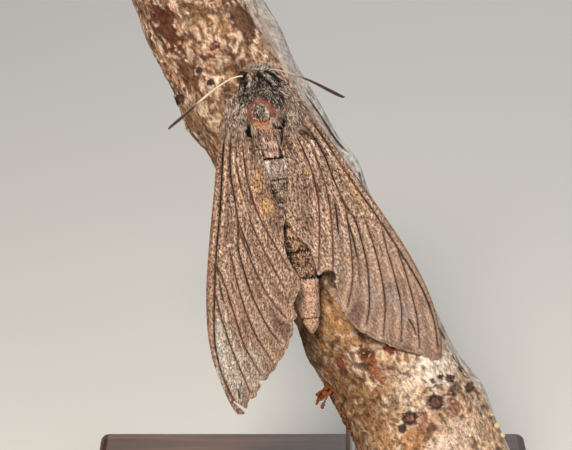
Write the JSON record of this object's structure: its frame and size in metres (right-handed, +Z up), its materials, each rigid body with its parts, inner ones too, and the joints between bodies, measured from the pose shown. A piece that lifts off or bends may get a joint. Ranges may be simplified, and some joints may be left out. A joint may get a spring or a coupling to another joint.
{
  "type": "convolvulus hawk moth model",
  "caption": "Life-size museum model of a convolvulus hawk moth at rest, wings folded like a roof, on a cut branch held by a plain display stand.",
  "frame": {"origin": "middle of the stand base's underside, on the surface that it stands on", "axes": "+Z up; -Y towards the viewer, out over the moth's back; +X to the viewer's right, the side that the branch falls to"},
  "size_m": [0.08, 0.06, 0.1071],
  "materials": {
    "grey_down": "matt scales and down",
    "brown_down": "matt scales and down",
    "wing": "matt scaled membrane",
    "hindwing": "matt scaled membrane",
    "eye": "glossy",
    "antenna": "matt",
    "leg": "matt",
    "bark": "rough peeling bark with sawn ends",
    "walnut": "satin varnish",
    "steel": "brushed"
  },
  "bodies": {
    "root": {"abdomen_front": "brown_down", "abdomen_middle": "brown_down", "abdomen_rear": "brown_down", "antenna_left": "antenna", "antenna_right": "antenna", "eye_left": "eye", "eye_right": "eye", "forewing_left": "wing", "forewing_right": "wing", "head": "grey_down", "hindwing_left": "hindwing", "hindwing_right": "hindwing", "leg_fore_left": "leg", "leg_fore_right": "leg", "leg_hind_left": "leg", "leg_hind_right": "leg", "leg_mid_left": "leg", "leg_mid_right": "leg", "palp_left": "grey_down", "palp_right": "grey_down", "perch_branch": "bark", "stand_base": "walnut", "stand_rod_short": "steel", "stand_rod_tall": "steel", "thorax": "grey_down"}
  },
  "joints": []
}
